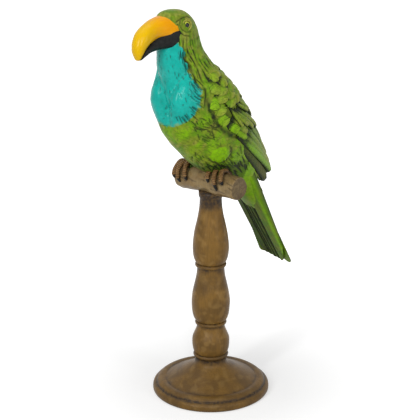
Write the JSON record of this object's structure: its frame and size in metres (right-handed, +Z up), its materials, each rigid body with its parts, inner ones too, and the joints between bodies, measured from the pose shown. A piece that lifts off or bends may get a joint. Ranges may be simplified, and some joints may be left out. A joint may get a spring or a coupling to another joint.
{
  "type": "toucan figurine",
  "caption": "Painted resin toucan standing on a log, on a turned post with a round moulded base; stands free on a shelf.",
  "frame": {"origin": "centre of the round base's underside", "axes": "+Z up along the turned post, -Y the way the bird looks, +X the bird's left, along the log"},
  "size_m": [0.122, 0.2133, 0.405],
  "materials": {
    "painted_resin": "hand-painted cast resin with a dark wash in the grooves and a satin varnish"
  },
  "bodies": {
    "root": {"toucan_figurine": "painted_resin"}
  },
  "joints": []
}
